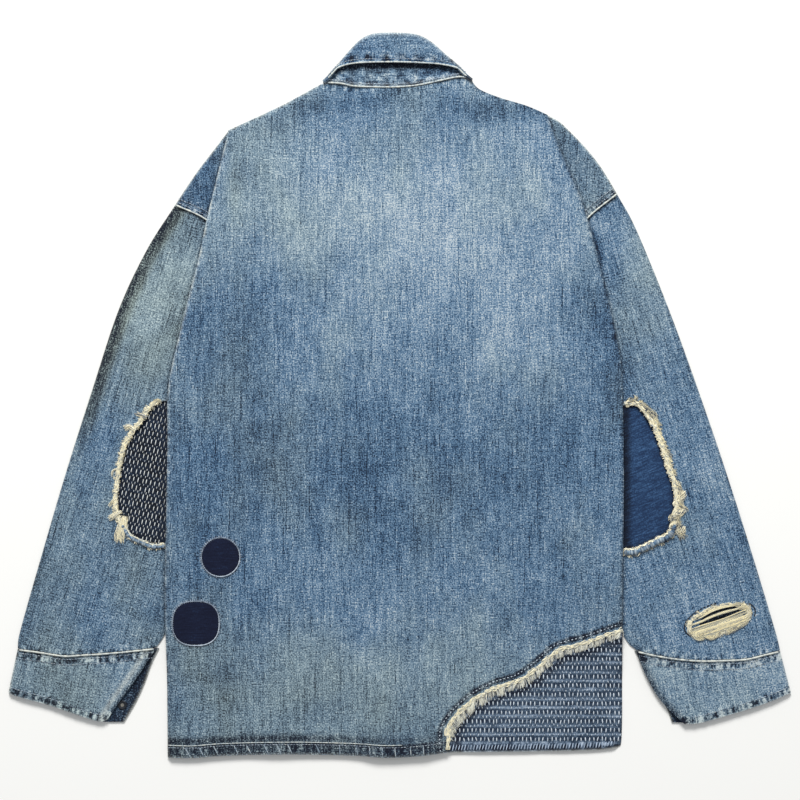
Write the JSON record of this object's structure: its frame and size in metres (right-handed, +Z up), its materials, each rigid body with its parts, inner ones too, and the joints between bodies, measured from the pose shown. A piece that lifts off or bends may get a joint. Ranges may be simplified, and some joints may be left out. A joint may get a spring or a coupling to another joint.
{
  "type": "patched boro denim jacket laid flat",
  "caption": "Loose long-sleeved denim work jacket lying on its front, back up, patched and darned, with torn, frayed places over stitched cloth.",
  "frame": {"origin": "on the surface that the jacket lies on, under the middle of its box", "axes": "+X towards the wearer's right sleeve, +Y from the hem to the collar, +Z up from the surface through the back"},
  "size_m": [0.86, 0.797, 0.0105],
  "materials": {
    "denim": "washed indigo twill, worn pale along its seams and edges",
    "sashiko": "dark indigo plain weave with rows of white running stitches",
    "indigo": "deep indigo plain weave, matt",
    "cotton": "loose undyed cotton threads",
    "button": "dull pressed metal"
  },
  "bodies": {
    "root": {"back": "denim", "front_left": "denim", "front_right": "denim", "shoulder_left": "denim", "shoulder_right": "denim", "sleeve_left": "denim", "sleeve_right": "denim", "cuff_left": "denim", "cuff_right": "denim", "collar_back": "denim", "collar_wing_left": "denim", "collar_wing_right": "denim", "sashiko_corner": "sashiko", "elbow_patch_left": "sashiko", "elbow_patch_right": "indigo", "round_patch_upper": "indigo", "round_patch_lower": "indigo", "fray_hem": "cotton", "fray_elbow_left": "cotton", "fray_elbow_right": "cotton", "rip_threads": "cotton", "cuff_button": "button"}
  },
  "joints": []
}
